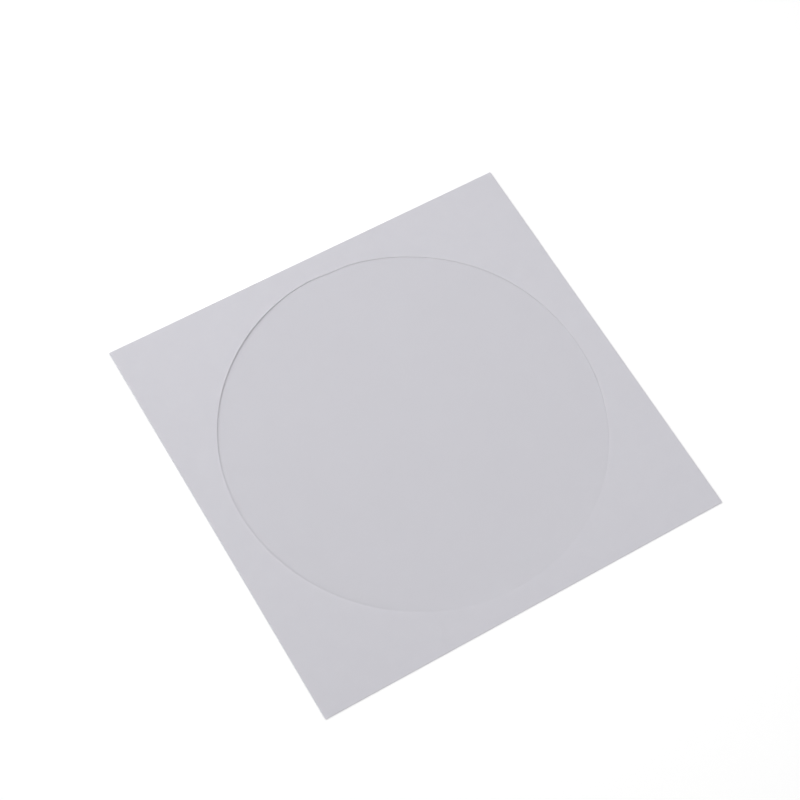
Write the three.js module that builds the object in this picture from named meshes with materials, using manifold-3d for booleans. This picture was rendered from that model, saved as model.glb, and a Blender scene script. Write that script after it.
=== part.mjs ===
// Window envelope for a disc: one white sheet, die-cut, folded and glued into a pocket with a
// top flap, and one clear film pane glued behind the sheet's round window.
//
// Millimetres. It lies flat with the window up and the flap folded underneath, against the back.
// +X runs along the flap's fold, +Y points from the bottom fold to the flap's fold, and +Z is up.
// The origin is on the surface that the envelope lies on, under the middle of its outline.

import * as THREE from 'three';
import { mergeVertices } from 'three/addons/utils/BufferGeometryUtils.js';
import Module from 'manifold-3d';

const wasm = await Module();
wasm.setup();

// Window and the borders of paper round it: 127 x 123 mm over the folds
const WINDOW_DIAMETER = 110;
const SIDE_BORDER = 8.5;
const END_BORDER = 6.5;

// Sheet and film
const PAPER_THICKNESS = 0.12;
const FILM_THICKNESS = 0.05;
const FILM_LAP = 4; // glued rim of film beyond the window's edge
const FILM_CORNER_RADIUS = 2;

// Free space between the layers as the empty envelope lies
const POCKET_CLEARANCE = 0.4; // film to side seam
const FLAP_CLEARANCE = 0.1; // flap to back panel

// Top flap, which tapers from its fold to its rounded free corners
const FLAP_DEPTH = 25;
const FLAP_TAPER = 7;
const FLAP_CORNER_RADIUS = 4;

// Back panel: a little narrower than the front, with a mouth just short of the flap's fold
const BACK_SIDE_SETBACK = 1.2;
const MOUTH_SETBACK = 1.4;
const SHOULDER_WIDTH = 7.5;
const SHOULDER_DROP = 3.5;

// Side seam flaps, folded in from the front panel and glued inside the back panel
const SEAM_WIDTH = 8;
const SEAM_END_CUT = 5;
const SEAM_END_SETBACK = 1;

// Facets
const FOLD_SEGMENTS = 6; // half the facets of a half-round fold
const WINDOW_SEGMENTS = 90; // half the facets of the window's edge
const CORNER_SEGMENTS = 4;

const WIDTH = WINDOW_DIAMETER + 2 * SIDE_BORDER;
const HEIGHT = WINDOW_DIAMETER + 2 * END_BORDER;
const CUTTER_MARGIN = 5; // how far a cutting block runs past the sheet
const MOUTH_CUT_MARGIN = 0.3; // and past the mouth, short of the flap's fold

// Heights of the layers' faces, from the surface up: flap, back, seam, pocket, film, front
const flapOuter = 0;
const flapInner = flapOuter + PAPER_THICKNESS;
const backOuter = flapInner + FLAP_CLEARANCE;
const backInner = backOuter + PAPER_THICKNESS;
const seamInner = backInner + PAPER_THICKNESS;
const frontInner = seamInner + POCKET_CLEARANCE + FILM_THICKNESS;
const frontOuter = frontInner + PAPER_THICKNESS;
const betweenFlapAndBack = (flapInner + backOuter) / 2;
const betweenBackAndFront = (seamInner + frontInner) / 2;

const paperWhite = new THREE.MeshStandardMaterial({ color: 0xe6e4ee, roughness: 0.9, metalness: 0 });
const clearFilm = new THREE.MeshStandardMaterial({
  color: 0xe4e4ea,
  roughness: 0.2,
  metalness: 0,
  transparent: true,
  opacity: 0.25,
});

// A half-round fold that joins the layer whose outer face is at low to the front panel
function foldBetween(low) {
  const outerRadius = (frontOuter - low) / 2;
  return {
    outerRadius,
    innerRadius: outerRadius - PAPER_THICKNESS,
    height: (frontOuter + low) / 2,
  };
}

const topFold = foldBetween(flapOuter);
const bottomFold = foldBetween(backOuter);
const sideFold = foldBetween(backInner);

// A closed geometry as a solid that can be cut and joined
function solidOf(geometry) {
  const bare = geometry.clone();
  bare.deleteAttribute('normal');
  bare.deleteAttribute('uv');
  const merged = mergeVertices(bare);
  const vertProperties = merged.attributes.position.array;
  const triVerts = new Uint32Array(merged.index.array);
  return new wasm.Manifold(new wasm.Mesh({ numProp: 3, vertProperties, triVerts }));
}

// The solid's surface as a flat-shaded geometry
function geometryOf(solid) {
  const { vertProperties, triVerts } = solid.getMesh();
  const geometry = new THREE.BufferGeometry();
  geometry.setAttribute('position', new THREE.BufferAttribute(vertProperties, 3));
  geometry.setIndex(new THREE.BufferAttribute(triVerts, 1));
  const flat = geometry.toNonIndexed();
  flat.computeVertexNormals();
  return flat;
}

// A section drawn in Y and Z, drawn out along X over the given width about the middle
function alongX(section, width) {
  const geometry = new THREE.ExtrudeGeometry(section, {
    depth: width,
    bevelEnabled: false,
    curveSegments: FOLD_SEGMENTS,
  });
  const axes = new THREE.Matrix4().makeBasis(
    new THREE.Vector3(0, 1, 0),
    new THREE.Vector3(0, 0, 1),
    new THREE.Vector3(1, 0, 0),
  );
  return solidOf(geometry.translate(0, 0, -width / 2).applyMatrix4(axes));
}

// A section drawn in X and Z, drawn out along Y over the given length about the middle
function alongY(section, length) {
  const geometry = new THREE.ExtrudeGeometry(section, {
    depth: length,
    bevelEnabled: false,
    curveSegments: FOLD_SEGMENTS,
  });
  return solidOf(geometry.translate(0, 0, -length / 2).rotateX(Math.PI / 2));
}

// An outline drawn in X and Y, between two heights
function plate(outline, low, high, curveSegments = CORNER_SEGMENTS) {
  const geometry = new THREE.ExtrudeGeometry(outline, {
    depth: high - low,
    bevelEnabled: false,
    curveSegments,
  });
  return solidOf(geometry.translate(0, 0, low));
}

// Everything outside an outline, between two heights: subtracting it die-cuts that layer
function surround(outline, low, high) {
  const block = new THREE.Shape();
  const x = WIDTH / 2 + CUTTER_MARGIN;
  const y = HEIGHT / 2 + CUTTER_MARGIN;
  block.moveTo(-x, -y).lineTo(x, -y).lineTo(x, y).lineTo(-x, y);
  block.closePath();
  block.holes.push(outline);
  return plate(block, low, high);
}

// The sheet's section through its middle: flap, top fold, front panel, bottom fold, back panel
function sheetSection() {
  const quarter = Math.PI / 2;
  const topY = HEIGHT / 2 - topFold.outerRadius;
  const bottomY = -HEIGHT / 2 + bottomFold.outerRadius;
  const flapEdgeY = HEIGHT / 2 - FLAP_DEPTH;
  const mouthY = HEIGHT / 2 - MOUTH_SETBACK;
  const section = new THREE.Shape();
  section.moveTo(flapEdgeY, flapOuter);
  section.lineTo(topY, flapOuter);
  section.absarc(topY, topFold.height, topFold.outerRadius, -quarter, quarter, false);
  section.lineTo(bottomY, frontOuter);
  section.absarc(bottomY, bottomFold.height, bottomFold.outerRadius, quarter, 3 * quarter, false);
  section.lineTo(mouthY, backOuter);
  section.lineTo(mouthY, backInner);
  section.lineTo(bottomY, backInner);
  section.absarc(bottomY, bottomFold.height, bottomFold.innerRadius, 3 * quarter, quarter, true);
  section.lineTo(topY, frontInner);
  section.absarc(topY, topFold.height, topFold.innerRadius, quarter, -quarter, true);
  section.lineTo(flapEdgeY, flapInner);
  section.closePath();
  return section;
}

// The right-hand side seam's section: a strip of the front panel, its fold and the seam flap
function seamSection() {
  const quarter = Math.PI / 2;
  const foldX = WIDTH / 2 - sideFold.outerRadius;
  const innerX = WIDTH / 2 - SEAM_WIDTH;
  const section = new THREE.Shape();
  section.moveTo(innerX, backInner);
  section.lineTo(foldX, backInner);
  section.absarc(foldX, sideFold.height, sideFold.outerRadius, -quarter, quarter, false);
  section.lineTo(innerX, frontOuter);
  section.lineTo(innerX, frontInner);
  section.lineTo(foldX, frontInner);
  section.absarc(foldX, sideFold.height, sideFold.innerRadius, quarter, -quarter, true);
  section.lineTo(innerX, seamInner);
  section.closePath();
  return section;
}

// What is cut from the right of the back panel: its setback and the eased shoulder at the mouth
function backTrim() {
  const side = WIDTH / 2 - BACK_SIDE_SETBACK;
  const shoulder = side - SHOULDER_WIDTH;
  const mouth = HEIGHT / 2 - MOUTH_SETBACK;
  const below = -HEIGHT / 2 - CUTTER_MARGIN;
  const outline = new THREE.Shape();
  outline.moveTo(side, below);
  outline.lineTo(side + CUTTER_MARGIN, below);
  outline.lineTo(side + CUTTER_MARGIN, mouth + MOUTH_CUT_MARGIN);
  outline.lineTo(shoulder, mouth + MOUTH_CUT_MARGIN);
  outline.lineTo(shoulder, mouth);
  outline.bezierCurveTo(
    side - SHOULDER_WIDTH / 2, mouth,
    side - SHOULDER_WIDTH / 2, mouth - SHOULDER_DROP,
    side, mouth - SHOULDER_DROP,
  );
  outline.closePath();
  return plate(outline, betweenFlapAndBack, betweenBackAndFront);
}

// The top flap's outline, from past its fold down to its free edge with rounded corners
function flapOutline() {
  const foldY = HEIGHT / 2;
  const edgeY = foldY - FLAP_DEPTH;
  const atFold = new THREE.Vector2(WIDTH / 2, foldY);
  const corner = new THREE.Vector2(WIDTH / 2 - FLAP_TAPER, edgeY);
  const slant = atFold.clone().sub(corner).setLength(FLAP_CORNER_RADIUS);
  const outline = new THREE.Shape();
  outline.moveTo(-atFold.x, foldY + CUTTER_MARGIN / 2);
  outline.lineTo(-atFold.x, foldY);
  outline.lineTo(-corner.x - slant.x, edgeY + slant.y);
  outline.quadraticCurveTo(-corner.x, edgeY, -corner.x + FLAP_CORNER_RADIUS, edgeY);
  outline.lineTo(corner.x - FLAP_CORNER_RADIUS, edgeY);
  outline.quadraticCurveTo(corner.x, edgeY, corner.x + slant.x, edgeY + slant.y);
  outline.lineTo(atFold.x, foldY);
  outline.lineTo(atFold.x, foldY + CUTTER_MARGIN / 2);
  outline.closePath();
  return outline;
}

// The outline of the seam flaps: each is cut back at an angle at both ends
function seamOutline() {
  const x = WIDTH / 2 + CUTTER_MARGIN / 2;
  const inner = WIDTH / 2 - SEAM_WIDTH;
  const end = HEIGHT / 2 - topFold.outerRadius - SEAM_END_SETBACK;
  const outline = new THREE.Shape();
  outline.moveTo(-x, -end).lineTo(-WIDTH / 2, -end);
  outline.lineTo(-inner, -end + SEAM_END_CUT);
  outline.lineTo(inner, -end + SEAM_END_CUT);
  outline.lineTo(WIDTH / 2, -end).lineTo(x, -end);
  outline.lineTo(x, end).lineTo(WIDTH / 2, end);
  outline.lineTo(inner, end - SEAM_END_CUT);
  outline.lineTo(-inner, end - SEAM_END_CUT);
  outline.lineTo(-WIDTH / 2, end).lineTo(-x, end);
  outline.closePath();
  return outline;
}

function windowOutline() {
  const outline = new THREE.Shape();
  outline.absarc(0, 0, WINDOW_DIAMETER / 2, 0, 2 * Math.PI, false);
  return outline;
}

// The film pane's outline, square with small round corners
function filmOutline() {
  const half = WINDOW_DIAMETER / 2 + FILM_LAP;
  const straight = half - FILM_CORNER_RADIUS;
  const quarter = Math.PI / 2;
  const outline = new THREE.Shape();
  outline.moveTo(half, -straight);
  outline.absarc(straight, straight, FILM_CORNER_RADIUS, 0, quarter, false);
  outline.absarc(-straight, straight, FILM_CORNER_RADIUS, quarter, 2 * quarter, false);
  outline.absarc(-straight, -straight, FILM_CORNER_RADIUS, 2 * quarter, 3 * quarter, false);
  outline.absarc(straight, -straight, FILM_CORNER_RADIUS, 3 * quarter, 4 * quarter, false);
  return outline;
}

// Flap, front and back in one strip, with the flap and the back panel die-cut
function foldedStrip() {
  const underside = flapOuter - CUTTER_MARGIN;
  const trim = backTrim();
  return alongX(sheetSection(), WIDTH - 2 * sideFold.outerRadius)
    .subtract(surround(flapOutline(), underside, betweenFlapAndBack))
    .subtract(trim)
    .subtract(trim.mirror([1, 0, 0]));
}

// Both side seams, which are mirror images
function sideSeams() {
  const length = HEIGHT - topFold.outerRadius - bottomFold.outerRadius;
  const middle = (bottomFold.outerRadius - topFold.outerRadius) / 2;
  const right = alongY(seamSection(), length)
    .translate([0, middle, 0])
    .subtract(surround(seamOutline(), betweenFlapAndBack, betweenBackAndFront));
  return right.add(right.mirror([1, 0, 0]));
}

// The whole sheet: glued seams are one solid with the panels, as the glue makes them
function foldedSheet() {
  const window = plate(windowOutline(), betweenBackAndFront, frontOuter + CUTTER_MARGIN, WINDOW_SEGMENTS);
  const sheet = foldedStrip().add(sideSeams()).subtract(window);
  const mesh = new THREE.Mesh(geometryOf(sheet), paperWhite);
  mesh.name = 'envelope_sheet';
  return mesh;
}

// The pane's upper face is glued to the inside of the front panel
function filmPane() {
  const mesh = new THREE.Mesh(geometryOf(plate(filmOutline(), -FILM_THICKNESS, 0)), clearFilm);
  mesh.name = 'window_film';
  mesh.position.z = frontInner;
  return mesh;
}

const windowEnvelope = new THREE.Group();
windowEnvelope.add(foldedSheet(), filmPane());

export default windowEnvelope;
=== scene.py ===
import math

import bpy
import numpy as np
from mathutils import Matrix, Vector


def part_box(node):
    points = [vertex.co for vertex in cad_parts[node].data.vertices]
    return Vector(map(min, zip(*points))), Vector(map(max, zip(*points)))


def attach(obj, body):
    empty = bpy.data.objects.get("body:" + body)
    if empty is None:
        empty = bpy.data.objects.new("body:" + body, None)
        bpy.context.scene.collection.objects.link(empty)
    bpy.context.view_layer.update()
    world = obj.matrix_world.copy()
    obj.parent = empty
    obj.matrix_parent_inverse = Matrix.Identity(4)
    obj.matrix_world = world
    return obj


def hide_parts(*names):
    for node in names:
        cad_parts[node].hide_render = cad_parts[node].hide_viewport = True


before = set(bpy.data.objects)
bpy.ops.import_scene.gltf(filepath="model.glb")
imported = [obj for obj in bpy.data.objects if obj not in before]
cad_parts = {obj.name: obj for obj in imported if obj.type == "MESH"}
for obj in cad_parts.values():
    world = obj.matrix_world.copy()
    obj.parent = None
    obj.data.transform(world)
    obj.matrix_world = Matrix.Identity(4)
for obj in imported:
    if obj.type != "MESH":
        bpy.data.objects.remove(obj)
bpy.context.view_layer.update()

# Lengths below are in metres, made from millimetres
MM = 0.001

# The sheet and the film
PAPER_THICKNESS = 0.12 * MM
FILM_THICKNESS = 0.05 * MM

# The die-cut shape
WINDOW_RADIUS = 55 * MM
FLAP_DEPTH = 25 * MM
FLAP_TAPER = 7 * MM
FLAP_CORNER_RADIUS = 4 * MM
BACK_SIDE_SETBACK = 1.2 * MM
MOUTH_SETBACK = 1.4 * MM
SHOULDER_WIDTH = 7.5 * MM
SHOULDER_DROP = 3.5 * MM
SEAM_WIDTH = 8 * MM
SEAM_END_CUT = 5 * MM
SEAM_END_SETBACK = 1 * MM
FILM_CORNER_RADIUS = 2 * MM

# Folds and layers as they lie pressed
FOLD_REACH = 0.12 * MM
FLAP_RAMP = 11 * MM
LAYER_GAP = 0.01 * MM
RIM_ROLL = 0.03 * MM
RIM_ROLL_RUN = 0.8 * MM

# Mesh spacing
EDGE_STEP = 0.7 * MM
INNER_STEP = 1.6 * MM
RIM_DISTANCES = [0.0, 0.12 * MM, 0.25 * MM, 0.4 * MM, 0.6 * MM, 0.9 * MM, 1.3 * MM]
BORDER_ROWS = 20
FOLD_ROWS = 10
CORNER_ROWS = 8
FILM_STEP = 1.4 * MM
MERGE_SIZE = 0.002 * MM
SHARP_ANGLE = 40

# Outline, from the frame
sheet_low, sheet_high = (np.array(corner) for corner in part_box("envelope_sheet"))
film_low, film_high = (np.array(corner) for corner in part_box("window_film"))
HALF_WIDTH = (sheet_high[0] - sheet_low[0]) / 2
HALF_HEIGHT = (sheet_high[1] - sheet_low[1]) / 2
FILM_HALF = (film_high[0] - film_low[0]) / 2

# Where the front panel ends and the folds begin
FRONT_X = HALF_WIDTH - PAPER_THICKNESS / 2 - FOLD_REACH
FRONT_Y = HALF_HEIGHT - PAPER_THICKNESS / 2 - FOLD_REACH


def smooth(values, low, high):
    """0 below low, 1 above high and an eased rise between them."""
    t = np.clip((values - low) / (high - low), 0, 1)
    return t * t * (3 - 2 * t)


def rounding(beyond, radius):
    """How far a round corner draws the side in, at a distance beyond where the corner begins."""
    beyond = min(max(beyond, 0.0), radius)
    return radius - math.sqrt(radius ** 2 - beyond ** 2)


# Relief of the paper, small against the envelope's thickness

# Slow waves in both panels: radians per metre across and along, phase and height
WAVES = [
    (52, 31, 0.6, 0.010 * MM),
    (-43, 71, 2.1, 0.007 * MM),
    (98, -52, 4.0, 0.005 * MM),
    (121, 135, 1.2, 0.003 * MM),
]
WAVE_MEAN = 0.02 * MM

# How far inside the folds the relief has come to its full height
FRONT_EASE = 15 * MM
BACK_EASE = 25 * MM

# Where the front panel stands off the layers below, or is held down to them:
# height, centre, half width along and across, and turn in degrees
LIFTS = [
    (0.29 * MM, (-28 * MM, 46 * MM), 38 * MM, 26 * MM, 32),
    (0.38 * MM, (-52 * MM, -22 * MM), 44 * MM, 22 * MM, 112),
    (-0.12 * MM, (5 * MM, 56 * MM), 7 * MM, 9 * MM, 0),
]

# How the window's outline has settled: change of radius, direction and spread in degrees
RIM_SHIFTS = [
    (0.45 * MM, 33, 20),
    (-0.50 * MM, 125, 32),
    (-0.45 * MM, 86, 5),
]

# Faint glue wrinkles beside the window: start, end, half width and height
CREASES = [
    ((-23.2 * MM, -52.0 * MM), (-25.6 * MM, -58.5 * MM), 1.0 * MM, 0.15 * MM),
    ((26.8 * MM, -49.0 * MM), (29.0 * MM, -54.0 * MM), 0.9 * MM, 0.14 * MM),
    ((38.6 * MM, -41.2 * MM), (41.0 * MM, -43.5 * MM), 0.9 * MM, 0.10 * MM),
]

# The front panel's step off the seam flaps, outside and inside their edge
SEAM_RAMP_OUTSIDE = 3 * MM
SEAM_RAMP_INSIDE = 1 * MM

# The part of a fold's turn over which its ends draw in
BACK_DRAW_IN = (0.5, 0.9)
SEAM_DRAW_IN = (0.4, 1.0)

# The film lies on the back panel within this share of the window's radius
FILM_FLAT_SHARE = 0.4


def slow_waves(x, y):
    """Height of the slow undulation of paper that has been handled."""
    waves = np.full_like(x + y, WAVE_MEAN)
    for across, along, phase, height in WAVES:
        waves += height * np.sin(across * x + along * y + phase)
    return waves


def crease(x, y, start, end, width, height):
    """A short soft ridge between two points of the panel."""
    ax, ay = start
    bx, by = end
    dx, dy = bx - ax, by - ay
    length = math.hypot(dx, dy)
    along = ((x - ax) * dx + (y - ay) * dy) / length
    across = ((x - ax) * dy - (y - ay) * dx) / length
    ends = smooth(along, -width, width) * (1 - smooth(along, length - width, length + width))
    return height * ends * np.exp(-((across / width) ** 2))


def from_folds(x, y, run):
    """0 along the folds and 1 from a run's distance inside them."""
    return smooth(FRONT_X - np.abs(x), 0, run) * smooth(FRONT_Y - np.abs(y), 0, run)


def mound(x, y, centre, along, across, angle):
    """A soft round-topped hill, 1 at its centre, with two half widths and a turn in degrees."""
    turn = math.radians(angle)
    dx = x - centre[0]
    dy = y - centre[1]
    u = (dx * math.cos(turn) + dy * math.sin(turn)) / along
    v = (dy * math.cos(turn) - dx * math.sin(turn)) / across
    return np.exp(-(u ** 2) - v ** 2)


# Heights of the middle of the paper in each layer, as the envelope lies


def flap_height(x, y):
    """The flap lies on the surface."""
    return np.full_like(x + y, PAPER_THICKNESS / 2)


def back_height(x, y):
    """The back panel lies on the surface, and rises over the flap folded under it."""
    over_flap = smooth(y, HALF_HEIGHT - FLAP_DEPTH - FLAP_RAMP, HALF_HEIGHT - FLAP_DEPTH)
    waves = np.maximum(slow_waves(-y, x), 0) * from_folds(x, y, BACK_EASE)
    return PAPER_THICKNESS / 2 + (PAPER_THICKNESS + LAYER_GAP) * over_flap + waves


def seam_height(x, y):
    """The seam flaps are glued to the back panel's inside."""
    return back_height(x, y) + PAPER_THICKNESS


def front_lift(x, y):
    """How far the front panel stands off the layers under it: most at the window's upper left."""
    lift = slow_waves(x, y)
    for height, centre, along, across, turn in LIFTS:
        lift += height * mound(x, y, centre, along, across, turn)
    return np.maximum(lift, 0) * from_folds(x, y, FRONT_EASE)


def front_height(x, y):
    """The front panel away from the window's cut edge."""
    from_side = HALF_WIDTH - np.abs(x)
    over_seam = 1 - smooth(from_side, SEAM_WIDTH - SEAM_RAMP_OUTSIDE, SEAM_WIDTH + SEAM_RAMP_INSIDE)
    contact = PAPER_THICKNESS + FILM_THICKNESS + RIM_ROLL + LAYER_GAP
    support = contact + (PAPER_THICKNESS - FILM_THICKNESS) * over_seam
    height = back_height(x, y) + support + front_lift(x, y)
    for start, end, width, ridge in CREASES:
        height = height + crease(x, y, start, end, width, ridge)
    return height


def rim_height(x, y):
    """The front panel, rolled down a little where the window is cut out."""
    beyond = np.hypot(x, y) - rim_radius(np.arctan2(y, x))
    return front_height(x, y) - RIM_ROLL * (1 - smooth(beyond, 0, RIM_ROLL_RUN))


# Mesh making


def spaced(low, high, step):
    """Even places from low to high, about a step apart."""
    return np.linspace(low, high, max(2, round((high - low) / step) + 1))


def layer(x, y, height, facing):
    """Points of one layer at the given places, with the outer side facing up (1) or down (-1)."""
    points = np.column_stack([x, y, height(x, y)])
    normals = np.zeros_like(points)
    normals[:, 2] = facing
    return points, normals


class ThinSheet:
    """A surface of rows of points, each with its normal, that is given a thickness."""

    def __init__(self):
        self.points = []
        self.normals = []
        self.faces = []

    def loft(self, rows):
        """Adds rows of points and the quads between them, facing along the normals."""
        first = sum(len(points) for points in self.points)
        numbers = []
        for points, normals in rows:
            numbers.append(np.arange(first, first + len(points)))
            first += len(points)
            self.points.append(points)
            self.normals.append(normals)
        quads = []
        for one, two in zip(numbers, numbers[1:]):
            quads.append(np.column_stack([one[:-1], one[1:], two[1:], two[:-1]]))
        quads = np.concatenate(quads)
        points = np.concatenate(self.points)
        normals = np.concatenate(self.normals)
        middle = quads[len(quads) // 2]
        across = np.cross(points[middle[2]] - points[middle[0]], points[middle[3]] - points[middle[1]])
        if across @ normals[middle[0]] < 0:
            quads = quads[:, ::-1]
        self.faces.append(quads)

    def build(self, name, thickness, materials):
        """Both sides and the cut edges as one closed object. The last material is on the edges."""
        points = np.concatenate(self.points)
        normals = np.concatenate(self.normals)
        faces = np.concatenate(self.faces)
        keys = np.round(points / MERGE_SIZE).astype(np.int64)
        kept, number = np.unique(keys, axis=0, return_index=True, return_inverse=True)[1:]
        points = points[kept]
        normals = normals[kept]
        faces = number.reshape(-1)[faces]
        count = len(points)
        edges = {}
        for face in faces:
            for a, b in zip(face, np.roll(face, -1)):
                if a != b:
                    edges[(int(a), int(b))] = True
        rim = [(a, b) for a, b in edges if (b, a) not in edges]
        offset = normals * thickness / 2
        corners = np.concatenate([points + offset, points - offset])
        outer = [drop_repeats(face) for face in faces.tolist()]
        inner = [[v + count for v in reversed(face)] for face in outer]
        walls = [(b, a, a + count, b + count) for a, b in rim]
        mesh = bpy.data.meshes.new(name)
        mesh.from_pydata(corners.tolist(), [], outer + inner + walls)
        mesh.validate()
        for material in materials:
            mesh.materials.append(material)
        for wall in mesh.polygons[2 * len(outer):]:
            wall.material_index = len(materials) - 1
        mesh.shade_smooth()
        mesh.set_sharp_from_angle(angle=math.radians(SHARP_ANGLE))
        piece = bpy.data.objects.new(name, mesh)
        bpy.context.scene.collection.objects.link(piece)
        return piece


def drop_repeats(face):
    """A face's corners without those that fall together."""
    return [v for v, before in zip(face, face[-1:] + face[:-1]) if v != before]


EDGE_X = spaced(-FRONT_X, FRONT_X, EDGE_STEP)
EDGE_Y = spaced(-FRONT_Y, FRONT_Y, EDGE_STEP)


def rectangle_edge():
    """Points round the front panel's edge, closed, at the folds' own spacing."""
    bottom = [(x, -FRONT_Y) for x in EDGE_X[:-1]]
    right = [(FRONT_X, y) for y in EDGE_Y[:-1]]
    top = [(x, FRONT_Y) for x in EDGE_X[:0:-1]]
    left = [(-FRONT_X, y) for y in EDGE_Y[::-1]]
    return np.array(bottom + right + top + left)


def rim_radius(angles):
    """The window's radius as the paper has settled: a little out on the right, in at the top."""
    degrees = np.degrees(angles)
    radius = np.full_like(degrees, WINDOW_RADIUS)
    for shift, direction, spread in RIM_SHIFTS:
        radius += shift * np.exp(-(((degrees - direction) / spread) ** 2))
    return radius


def front_panel(sheet):
    """The front panel as rows that run from the round window out to the folds."""
    edge = rectangle_edge()
    angles = np.arctan2(edge[:, 1], edge[:, 0])
    rim = rim_radius(angles)[:, None] * np.column_stack([np.cos(angles), np.sin(angles)])
    rings = [rim * (1 + distance / WINDOW_RADIUS) for distance in RIM_DISTANCES]
    last = rings[-1]
    rings += [last + (edge - last) * t for t in np.linspace(0, 1, BORDER_ROWS + 1)[1:]]
    sheet.loft([layer(ring[:, 0], ring[:, 1], rim_height, 1) for ring in rings])


def fold_rows(x, y, outward, height_below):
    """Rows of a pressed fold, from the front panel's edge round to the layer below it."""
    top = front_height(x, y)
    half = (top - height_below(x, y)) / 2
    rows = []
    for angle in np.linspace(0, math.pi, FOLD_ROWS + 1):
        reach = FOLD_REACH * math.sin(angle)
        points = np.column_stack([x + outward[0] * reach, y + outward[1] * reach, top])
        points[:, 2] -= half * (1 - math.cos(angle))
        normals = np.column_stack([
            outward[0] * half * math.sin(angle),
            outward[1] * half * math.sin(angle),
            np.full_like(x, FOLD_REACH * math.cos(angle)),
        ])
        normals /= np.linalg.norm(normals, axis=1)[:, None]
        rows.append((points, normals))
    return rows


def flap_half_width(depth):
    """Half the flap's width at a depth from its fold, with the rounded corner at the end."""
    half = HALF_WIDTH - FLAP_TAPER * depth / FLAP_DEPTH
    half -= rounding(depth - FLAP_DEPTH + FLAP_CORNER_RADIUS, FLAP_CORNER_RADIUS)
    return min(half, FRONT_X)


def top_flap(sheet):
    """The flap's fold and the flap, folded flat under the back panel."""
    rows = fold_rows(EDGE_X, np.full_like(EDGE_X, FRONT_Y), (0, 1), flap_height)
    straight = spaced(HALF_HEIGHT - FRONT_Y, FLAP_DEPTH - FLAP_CORNER_RADIUS, INNER_STEP)[1:]
    quarter = np.linspace(0, math.pi / 2, CORNER_ROWS + 1)[1:]
    corner = FLAP_DEPTH - FLAP_CORNER_RADIUS + FLAP_CORNER_RADIUS * np.sin(quarter)
    for depth in [*straight, *corner]:
        x = EDGE_X / FRONT_X * flap_half_width(depth)
        y = np.full_like(x, HALF_HEIGHT - depth)
        rows.append(layer(x, y, flap_height, -1))
    sheet.loft(rows)


def mouth_edge(x):
    """The back panel's upper edge, eased down to a shoulder at each side."""
    from_side = HALF_WIDTH - BACK_SIDE_SETBACK - np.abs(x)
    drop = SHOULDER_DROP * (1 - smooth(from_side, 0, SHOULDER_WIDTH))
    return HALF_HEIGHT - MOUTH_SETBACK - drop


def back_panel(sheet):
    """The bottom fold and the back panel, up to its mouth."""
    side = HALF_WIDTH - BACK_SIDE_SETBACK
    rows = fold_rows(EDGE_X, np.full_like(EDGE_X, -FRONT_Y), (0, -1), back_height)
    for (points, normals), turn in zip(rows, np.linspace(0, 1, len(rows))):
        points[:, 0] *= 1 - (1 - side / FRONT_X) * smooth(turn, *BACK_DRAW_IN)
    x = EDGE_X / FRONT_X * side
    for t in spaced(0, 1, INNER_STEP / (2 * FRONT_Y))[1:]:
        y = -FRONT_Y + (mouth_edge(x) + FRONT_Y) * t
        rows.append(layer(x, y, back_height, -1))
    sheet.loft(rows)


def side_seam(sheet, sign):
    """A side fold and its seam flap, glued inside the back panel."""
    x = np.full_like(EDGE_Y, sign * FRONT_X)
    rows = fold_rows(x, EDGE_Y, (sign, 0), seam_height)
    outer = 1 - SEAM_END_SETBACK / FRONT_Y
    for (points, normals), turn in zip(rows, np.linspace(0, 1, len(rows))):
        points[:, 1] *= 1 - (1 - outer) * smooth(turn, *SEAM_DRAW_IN)
    for depth in spaced(HALF_WIDTH - FRONT_X, SEAM_WIDTH, INNER_STEP)[1:]:
        y = EDGE_Y * (outer - SEAM_END_CUT / FRONT_Y * depth / SEAM_WIDTH)
        rows.append(layer(np.full_like(y, sign * (HALF_WIDTH - depth)), y, seam_height, -1))
    sheet.loft(rows)


def folded_sheet(materials):
    """The whole sheet: front panel, flap, back panel and both seams."""
    sheet = ThinSheet()
    front_panel(sheet)
    top_flap(sheet)
    back_panel(sheet)
    side_seam(sheet, 1)
    side_seam(sheet, -1)
    return sheet.build("folded_sheet", PAPER_THICKNESS, materials)


def film_height(x, y):
    """The film is glued to the front panel's inside, and sinks to the back panel further in."""
    sunk = 1 - smooth(np.hypot(x, y), FILM_FLAT_SHARE * WINDOW_RADIUS, WINDOW_RADIUS)
    glued = front_height(x, y) - RIM_ROLL - (PAPER_THICKNESS + FILM_THICKNESS) / 2
    return glued - front_lift(x, y) * sunk


def film_pane(materials):
    """The clear pane, square with small round corners."""
    film = ThinSheet()
    places = spaced(-1, 1, FILM_STEP / FILM_HALF)
    rows = []
    for v in places:
        drawn_in = rounding(abs(v) * FILM_HALF - FILM_HALF + FILM_CORNER_RADIUS, FILM_CORNER_RADIUS)
        x = places * (FILM_HALF - drawn_in)
        rows.append(layer(x, np.full_like(x, v * FILM_HALF), film_height, 1))
    film.loft(rows)
    return film.build("film_pane", FILM_THICKNESS, materials)


# Materials


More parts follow.
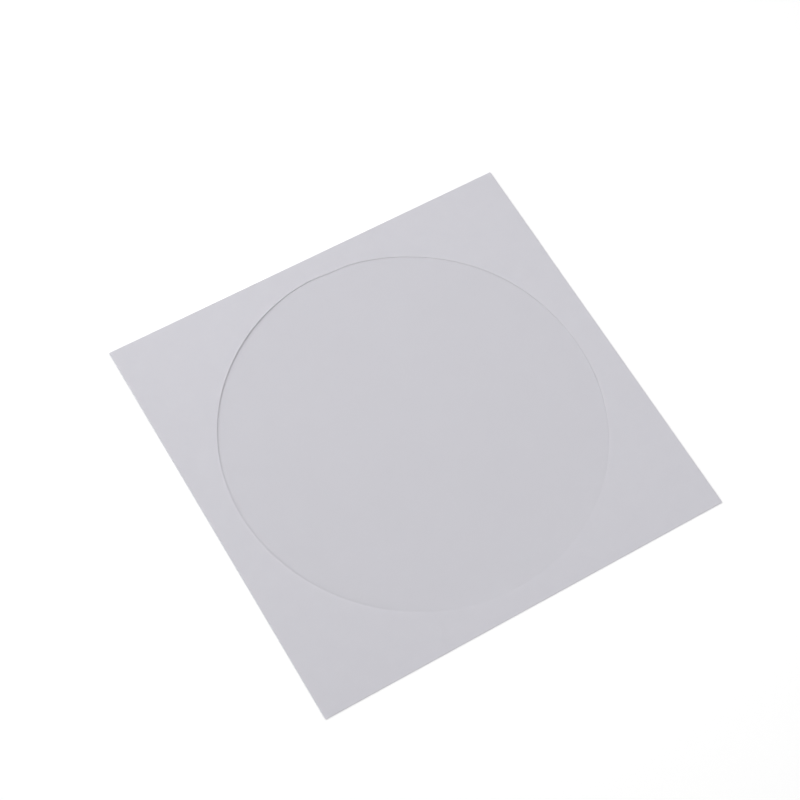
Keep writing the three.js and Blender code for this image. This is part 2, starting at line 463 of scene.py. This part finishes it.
class Nodes:
    """Short names for making the nodes of a material or a world."""

    def __init__(self, owner):
        owner.use_nodes = True
        self.tree = owner.node_tree

    def add(self, kind, **settings):
        node = self.tree.nodes.new(kind)
        for key, value in settings.items():
            setattr(node, key, value)
        return node

    def link(self, source, target):
        self.tree.links.new(source, target)

    def noise(self, place, scale, detail, rough):
        """The value of a noise texture at a place."""
        node = self.add("ShaderNodeTexNoise")
        node.inputs["Scale"].default_value = scale
        node.inputs["Detail"].default_value = detail
        node.inputs["Roughness"].default_value = rough
        self.link(place, node.inputs["Vector"])
        return node.outputs["Fac"]

    def to_range(self, value, low, high):
        """A value of 0 to 1 brought to the range from low to high."""
        node = self.add("ShaderNodeMapRange")
        node.inputs["To Min"].default_value = low
        node.inputs["To Max"].default_value = high
        self.link(value, node.inputs["Value"])
        return node.outputs["Result"]

    def seen_directly(self):
        """1 for camera, glossy and transmission rays and 0 for the others."""
        rays = self.add("ShaderNodeLightPath")
        seen = self.add("ShaderNodeMath", operation="MAXIMUM")
        self.link(rays.outputs["Is Camera Ray"], seen.inputs[0])
        self.link(rays.outputs["Is Glossy Ray"], seen.inputs[1])
        also = self.add("ShaderNodeMath", operation="MAXIMUM")
        self.link(seen.outputs[0], also.inputs[0])
        self.link(rays.outputs["Is Transmission Ray"], also.inputs[1])
        return also.outputs[0]


PAPER_COLOUR = (0.704, 0.693, 0.746)
PAPER_SHADE = (0.682, 0.670, 0.726)
# The cut edges' colours are painted light: near white, far lighter than the paper, so that they paint
# out the shade on edges that face away from the lamps
PAPER_EDGE_PAINTED_LIGHT = (0.97, 0.96, 0.98)
PAPER_EDGE_PAINTED_LIGHT_SHADE = (0.90, 0.89, 0.92)


def paper_material(name, colour, shade):
    """Uncoated white wove paper: cool tint, faint cloudiness and a fine tooth."""
    material = bpy.data.materials.new(name)
    nodes = Nodes(material)
    shader = nodes.tree.nodes["Principled BSDF"]
    place = nodes.add("ShaderNodeTexCoord").outputs["Object"]
    clouds = nodes.noise(place, scale=220.0, detail=3.0, rough=0.55)
    mix = nodes.add("ShaderNodeMix", data_type="RGBA")
    mix.inputs["A"].default_value = (*shade, 1)
    mix.inputs["B"].default_value = (*colour, 1)
    nodes.link(clouds, mix.inputs["Factor"])
    nodes.link(mix.outputs["Result"], shader.inputs["Base Color"])
    tooth = nodes.noise(place, scale=2600.0, detail=6.0, rough=0.7)
    bump = nodes.add("ShaderNodeBump")
    bump.inputs["Strength"].default_value = 0.25
    bump.inputs["Distance"].default_value = 0.02 * MM
    nodes.link(tooth, bump.inputs["Height"])
    nodes.link(bump.outputs["Normal"], shader.inputs["Normal"])
    shader.inputs["Roughness"].default_value = 0.9
    shader.inputs["Specular IOR Level"].default_value = 0.25
    shader.inputs["Subsurface Weight"].default_value = 0.35
    shader.inputs["Subsurface Radius"].default_value = (1.0, 0.95, 0.95)
    shader.inputs["Subsurface Scale"].default_value = 0.5 * MM
    return material


FILM_COLOUR = (0.84, 0.84, 0.85)
FILM_ROUGHNESS = (0.08, 0.16)

# Share of the light that the film mirrors when seen square on, and how it grows with the slant
FILM_MIRROR = 0.04
SLANT_POWER = 5.0


def film_material():
    """Clear film: it mirrors a little, more at a slant, and shows what lies behind it."""
    material = bpy.data.materials.new("clear_film")
    nodes = Nodes(material)
    shader = nodes.tree.nodes["Principled BSDF"]
    slant = nodes.add("ShaderNodeLayerWeight")
    slant.inputs["Blend"].default_value = 0.5
    power = nodes.add("ShaderNodeMath", operation="POWER")
    power.inputs[1].default_value = SLANT_POWER
    nodes.link(slant.outputs["Facing"], power.inputs[0])
    nodes.link(nodes.to_range(power.outputs[0], FILM_MIRROR, 1.0), shader.inputs["Alpha"])
    place = nodes.add("ShaderNodeTexCoord").outputs["Object"]
    haze = nodes.noise(place, scale=60.0, detail=3.0, rough=0.5)
    nodes.link(nodes.to_range(haze, *FILM_ROUGHNESS), shader.inputs["Roughness"])
    shader.inputs["Base Color"].default_value = (*FILM_COLOUR, 1)
    shader.inputs["Metallic"].default_value = 1.0
    return material


# Floor, light and camera

FLOOR_COLOUR = (0.86, 0.86, 0.86)
FLOOR_DROP = 0.01 * MM
FLOOR_SIZE = 6.0

# The floor's own glow to the eye, which makes up for the lamps' fall with distance:
# its level near the envelope and far off, and the distances between which it rises
NEAR_LIFT = 0.27
FAR_LIFT = 0.62
LIFT_START = 0.25
LIFT_END = 0.80


def floor():
    """A white floor that keeps the envelope's shadow."""
    bpy.ops.mesh.primitive_plane_add(size=FLOOR_SIZE, location=(0, 0, -FLOOR_DROP))
    plane = bpy.context.object
    plane.name = "floor"
    material = bpy.data.materials.new("white_floor")
    nodes = Nodes(material)
    nodes.tree.nodes.remove(nodes.tree.nodes["Principled BSDF"])
    diffuse = nodes.add("ShaderNodeBsdfDiffuse")
    diffuse.inputs["Color"].default_value = (*FLOOR_COLOUR, 1)
    place = nodes.add("ShaderNodeTexCoord")
    reach = nodes.add("ShaderNodeVectorMath", operation="LENGTH")
    nodes.link(place.outputs["Object"], reach.inputs[0])
    level = nodes.add("ShaderNodeMapRange")
    level.inputs["From Min"].default_value = LIFT_START
    level.inputs["From Max"].default_value = LIFT_END
    level.inputs["To Min"].default_value = NEAR_LIFT
    level.inputs["To Max"].default_value = FAR_LIFT
    nodes.link(reach.outputs["Value"], level.inputs["Value"])
    lift = nodes.add("ShaderNodeMath", operation="MULTIPLY")
    nodes.link(nodes.seen_directly(), lift.inputs[0])
    nodes.link(level.outputs["Result"], lift.inputs[1])
    glow = nodes.add("ShaderNodeEmission")
    nodes.link(lift.outputs[0], glow.inputs["Strength"])
    total = nodes.add("ShaderNodeAddShader")
    nodes.link(diffuse.outputs[0], total.inputs[0])
    nodes.link(glow.outputs[0], total.inputs[1])
    nodes.link(total.outputs[0], nodes.tree.nodes["Material Output"].inputs["Surface"])
    plane.data.materials.append(material)


# The world lights at one level and shows at another
WORLD_LEVEL = 0.48
WORLD_SHOWN = 1.0

# Lamps: azimuth from +X and elevation in degrees, distance, size across and level,
# where 1 lights a white sheet to full white
LAMPS = {
    "key": (134, 38, 0.50, 0.42, 0.13),
    "back": (116, 58, 0.45, 0.12, 0.15),
    "fill": (-12, 64, 0.45, 0.14, 0.16),
    "front": (-115, 32, 0.70, 0.60, 0.04),
}


def light():
    """An even pale world and four soft lamps, most of the light from beyond the flap's fold."""
    world = bpy.data.worlds.new("studio")
    bpy.context.scene.world = world
    nodes = Nodes(world)
    background = nodes.tree.nodes["Background"]
    background.inputs["Color"].default_value = (1, 1, 1, 1)
    level = nodes.to_range(nodes.seen_directly(), WORLD_LEVEL, WORLD_SHOWN)
    nodes.link(level, background.inputs["Strength"])
    for name, values in LAMPS.items():
        add_lamp(name, *values)


def add_lamp(name, azimuth, elevation, distance, size, level):
    """A round soft lamp that faces the envelope."""
    lamp = bpy.data.lights.new(name, "AREA")
    lamp.shape = "DISK"
    lamp.size = size
    rise = math.sin(math.radians(elevation))
    reach = math.cos(math.radians(elevation))
    turn = math.radians(azimuth)
    towards = Vector((math.cos(turn) * reach, math.sin(turn) * reach, rise))
    lamp.energy = level * (math.pi * distance) ** 2 / rise
    holder = bpy.data.objects.new(name, lamp)
    holder.location = towards * distance
    holder.rotation_euler = towards.to_track_quat("Z", "Y").to_euler()
    bpy.context.scene.collection.objects.link(holder)


# The camera's place, and what is right and up to it, fitted to the photo's corners and window
CAMERA_PLACE = Vector((-159.0 * MM, -195.25 * MM, 516.23 * MM + sheet_high[2]))
CAMERA_RIGHT = Vector((0.85814, -0.50938, 0.06423))
CAMERA_UP = Vector((0.43253, 0.78466, 0.44409))
SENSOR_WIDTH = 36.0
LENS = 92.50


def camera():
    """Looks down on the window from in front and to the left."""
    data = bpy.data.cameras.new("camera")
    data.sensor_width = SENSOR_WIDTH
    data.lens = LENS
    data.clip_start = 0.01
    view = bpy.data.objects.new("camera", data)
    back = CAMERA_RIGHT.cross(CAMERA_UP).normalized()
    turn = Matrix((CAMERA_RIGHT, CAMERA_UP, back)).transposed().to_4x4()
    view.matrix_world = Matrix.Translation(CAMERA_PLACE) @ turn
    bpy.context.scene.collection.objects.link(view)
    bpy.context.scene.camera = view


scene = bpy.context.scene
scene.view_settings.view_transform = "Standard"

paper = paper_material("white_paper", PAPER_COLOUR, PAPER_SHADE)
# Painted light: the cut edges get a near-white colour that paints out their shade
painted_light_edge = paper_material("paper_cut_edge", PAPER_EDGE_PAINTED_LIGHT, PAPER_EDGE_PAINTED_LIGHT_SHADE)
film = film_material()

sheet_piece = folded_sheet([paper, painted_light_edge])
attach(sheet_piece, "root")
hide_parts("envelope_sheet")

film_piece = film_pane([film])
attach(film_piece, "root")
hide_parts("window_film")

floor()
light()
camera()
